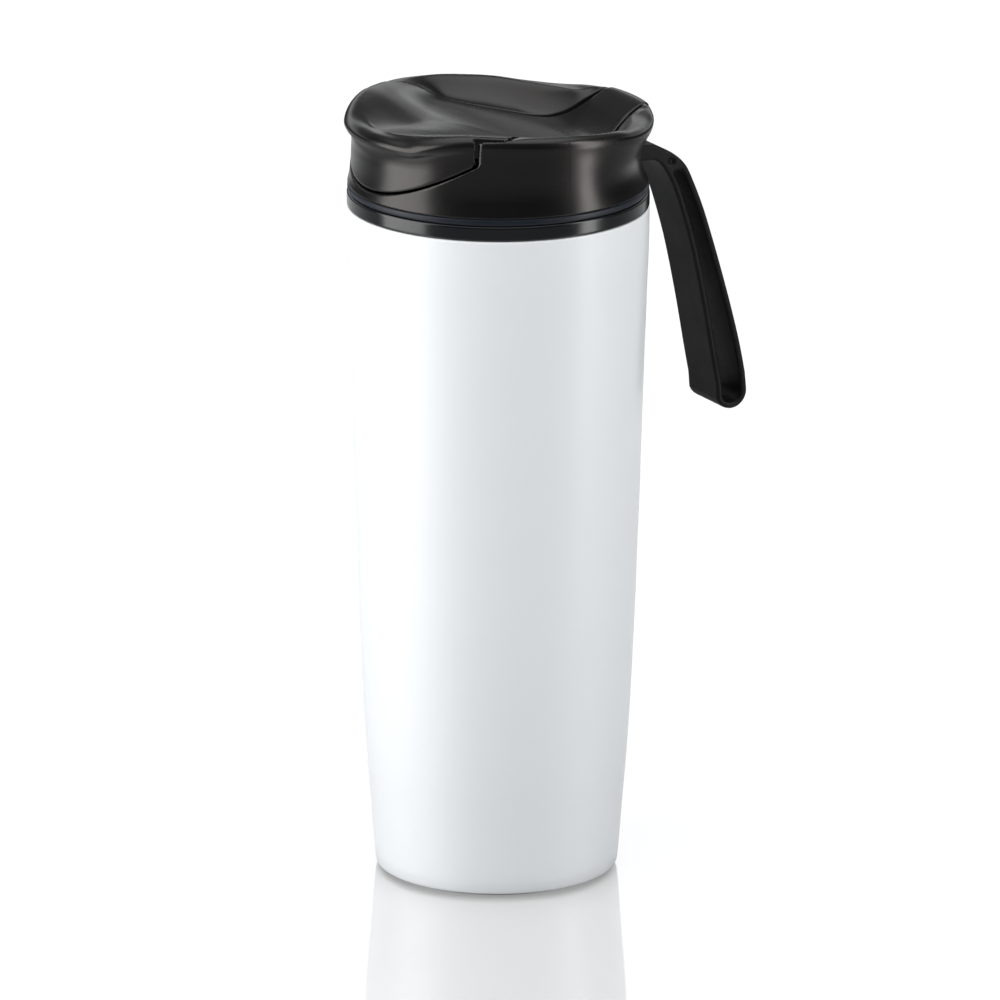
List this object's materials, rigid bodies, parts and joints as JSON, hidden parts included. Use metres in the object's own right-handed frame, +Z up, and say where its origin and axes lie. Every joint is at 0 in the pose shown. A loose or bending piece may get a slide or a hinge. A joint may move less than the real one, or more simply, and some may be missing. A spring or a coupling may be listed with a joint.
{
  "type": "insulated tumbler with lid",
  "caption": "White double-walled tumbler with a black screw lid, flip cap over a drinking spout, long looped strap handle fixed to the lid, and a suction base that resists tipping.",
  "frame": {"origin": "on the tumbler's axis, where the suction pad meets the table", "axes": "+Z up along the tumbler's axis, +X towards the handle, so the drinking side is -X"},
  "size_m": [0.1155, 0.082, 0.2148],
  "materials": {
    "shell_white": "semi-gloss white paint on polypropylene",
    "plastic_white": "plain moulded white",
    "collar_black": "polished black",
    "lid_black": "satin moulded black",
    "handle_black": "fine-grained matte black",
    "base_black": "plain moulded black",
    "seal_navy": "dark blue silicone with a soft sheen",
    "silicone_grey": "milky translucent silicone",
    "liner_steel": "spun stainless steel",
    "screw_steel": "bright zinc"
  },
  "bodies": {
    "base": {"suction_pad": "silicone_grey", "pad_clamp_ring": "base_black", "base_carrier": "base_black"},
    "tumbler": {"shoulder_screws": "screw_steel", "bottom_plate": "plastic_white", "vent_stem": "base_black", "vent_seal": "silicone_grey", "outer_shell": "shell_white", "inner_liner": "liner_steel", "liner_gasket": "silicone_grey", "liner_clamp_ring": "base_black", "collar": "collar_black"},
    "lid_seal": {"lid_gasket": "seal_navy"},
    "lid": {"lid_body": "lid_black", "lid_insert": "lid_black", "insert_o_ring": "silicone_grey", "handle": "handle_black", "handle_screws": "screw_steel", "hinge_pin": "screw_steel"},
    "cap": {"flip_cap": "lid_black", "cap_inner_plate": "lid_black", "cap_plate_screws": "screw_steel", "spout_stopper": "silicone_grey", "vent_stopper": "silicone_grey"}
  },
  "joints": [
    {"name": "base_release", "type": "slide", "parent": "base", "child": "tumbler", "axis": [0, 0, 1], "range_m": [0, 0.0015]},
    {"name": "lid_lift", "type": "slide", "parent": "tumbler", "child": "lid_seal", "axis": [0, 0, 1], "range_m": [0, 0.01601]},
    {"name": "lid_turn", "type": "hinge", "parent": "lid_seal", "child": "lid", "pos_m": [0, 0, 0.1912], "axis": [0, 0, 1], "range_deg": [0, 360]},
    {"name": "cap_hinge", "type": "hinge", "parent": "lid", "child": "cap", "pos_m": [0.0376, 0, 0.209], "axis": [0, 1, 0], "range_deg": [0, 100]}
  ],
  "couplings": [
    {"joint": "lid_lift", "follows": "lid_turn", "m_per_rad": 0.0025465}
  ]
}
